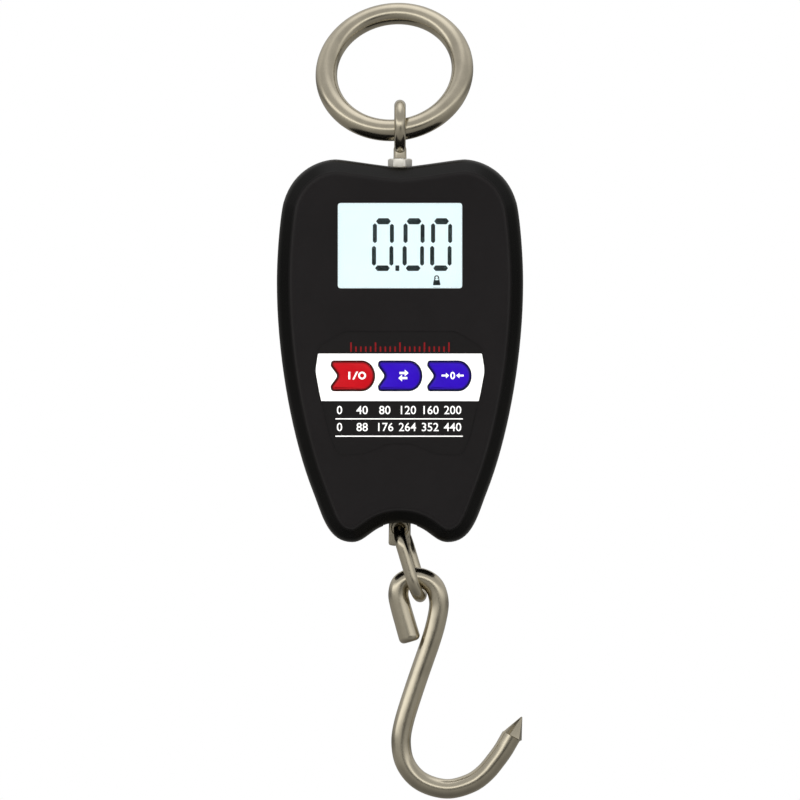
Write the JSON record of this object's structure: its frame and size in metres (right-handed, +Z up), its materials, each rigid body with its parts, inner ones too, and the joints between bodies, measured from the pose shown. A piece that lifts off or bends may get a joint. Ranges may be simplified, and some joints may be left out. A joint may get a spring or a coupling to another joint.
{
  "type": "digital hanging scale",
  "caption": "Hand-held digital hanging scale: black tapered body with an LCD and push buttons, a lift ring above and a swinging load hook below.",
  "frame": {"origin": "point on the inside of the lift ring, at its middle, where a strap or hook bears", "axes": "+X to the right seen from the display side, +Y from the display into the scale, +Z up along the load line"},
  "size_m": [0.0726, 0.0385, 0.2352],
  "materials": {
    "hanging_ring": "polished, slightly warm, with fine wire marks",
    "eye_bolt": "polished, slightly warm, with fine wire marks",
    "eye_bolt_nut": "polished",
    "eye_bolt_washer": "polished",
    "front_housing": "satin black moulded plastic, fine grain",
    "rear_housing": "satin black moulded plastic, fine grain",
    "housing_screw_1": "zinc-plated",
    "housing_screw_2": "zinc-plated",
    "housing_screw_3": "zinc-plated",
    "housing_screw_4": "zinc-plated",
    "lcd_window": "clear polished acrylic",
    "lcd_bezel": "matt black moulded plastic",
    "lcd_panel": "pale backlit display with dark segments",
    "backlight_plate": "white diffuser",
    "keypad_label": "printed film, black with a white band",
    "power_button": "glossy red",
    "mode_button": "glossy blue",
    "tare_button": "glossy blue",
    "power_button_switch": "black moulded",
    "mode_button_switch": "black moulded",
    "tare_button_switch": "black moulded",
    "circuit_board": "green solder mask",
    "board_screw_1": "zinc-plated",
    "board_screw_2": "zinc-plated",
    "board_screw_3": "zinc-plated",
    "board_screw_4": "zinc-plated",
    "main_chip": "black epoxy",
    "display_connector": "elastomer contact strip",
    "load_cell": "machined",
    "strain_gauge_left": "polyimide film with foil grid",
    "strain_gauge_right": "polyimide film with foil grid",
    "cell_cable": "grey insulation",
    "battery_tray": "matt black moulded plastic",
    "battery_left": "plain printed cell sleeve",
    "battery_right": "plain printed cell sleeve",
    "battery_spring_left": "nickel-plated spring steel",
    "battery_spring_right": "nickel-plated spring steel",
    "battery_plate_left": "nickel-plated spring steel",
    "battery_plate_right": "nickel-plated spring steel",
    "battery_door": "satin black moulded plastic, fine grain",
    "battery_wire_red": "red insulation",
    "battery_wire_black": "black insulation",
    "lower_lug": "polished, slightly warm, with fine wire marks",
    "lug_nut": "polished",
    "connecting_link": "polished, slightly warm, with fine wire marks",
    "load_hook": "polished, slightly warm, with fine wire marks"
  },
  "bodies": {
    "scale_body": {"eye_bolt": "eye_bolt", "eye_bolt_nut": "eye_bolt_nut", "eye_bolt_washer": "eye_bolt_washer", "front_housing": "front_housing", "rear_housing": "rear_housing", "housing_screw_1": "housing_screw_1", "housing_screw_2": "housing_screw_2", "housing_screw_3": "housing_screw_3", "housing_screw_4": "housing_screw_4", "lcd_window": "lcd_window", "lcd_bezel": "lcd_bezel", "lcd_panel": "lcd_panel", "backlight_plate": "backlight_plate", "keypad_label": "keypad_label", "power_button_switch": "power_button_switch", "mode_button_switch": "mode_button_switch", "tare_button_switch": "tare_button_switch", "circuit_board": "circuit_board", "board_screw_1": "board_screw_1", "board_screw_2": "board_screw_2", "board_screw_3": "board_screw_3", "board_screw_4": "board_screw_4", "main_chip": "main_chip", "display_connector": "display_connector", "load_cell": "load_cell", "strain_gauge_left": "strain_gauge_left", "strain_gauge_right": "strain_gauge_right", "cell_cable": "cell_cable", "battery_tray": "battery_tray", "battery_left": "battery_left", "battery_right": "battery_right", "battery_spring_left": "battery_spring_left", "battery_spring_right": "battery_spring_right", "battery_plate_left": "battery_plate_left", "battery_plate_right": "battery_plate_right", "battery_wire_red": "battery_wire_red", "battery_wire_black": "battery_wire_black", "lower_lug": "lower_lug", "lug_nut": "lug_nut"},
    "ring": {"hanging_ring": "hanging_ring"},
    "power_key": {"power_button": "power_button"},
    "mode_key": {"mode_button": "mode_button"},
    "tare_key": {"tare_button": "tare_button"},
    "door": {"battery_door": "battery_door"},
    "link": {"connecting_link": "connecting_link"},
    "hook": {"load_hook": "load_hook"}
  },
  "joints": [
    {"name": "ring_swing", "type": "hinge", "parent": "ring", "child": "scale_body", "pos_m": [0, -0.01884, -0.0319], "axis": [1, 0, 0], "range_deg": [-100, 70]},
    {"name": "power_press", "type": "slide", "parent": "scale_body", "child": "power_key", "axis": [0, 1, 0], "range_m": [0, 0.0006], "stiffness_N_per_m": 600},
    {"name": "mode_press", "type": "slide", "parent": "scale_body", "child": "mode_key", "axis": [0, 1, 0], "range_m": [0, 0.0006], "stiffness_N_per_m": 600},
    {"name": "tare_press", "type": "slide", "parent": "scale_body", "child": "tare_key", "axis": [0, 1, 0], "range_m": [0, 0.0006], "stiffness_N_per_m": 600},
    {"name": "door_hinge", "type": "hinge", "parent": "scale_body", "child": "door", "pos_m": [0, -0.00564, -0.062], "axis": [1, 0, 0], "range_deg": [0, 70]},
    {"name": "link_swing", "type": "hinge", "parent": "scale_body", "child": "link", "pos_m": [0, -0.01884, -0.1494], "axis": [0, 1, 0], "range_deg": [-25, 55]},
    {"name": "hook_swing", "type": "hinge", "parent": "link", "child": "hook", "pos_m": [0.00597, -0.01884, -0.16953], "axis": [0, 1, 0], "range_deg": [-50, 50]}
  ]
}
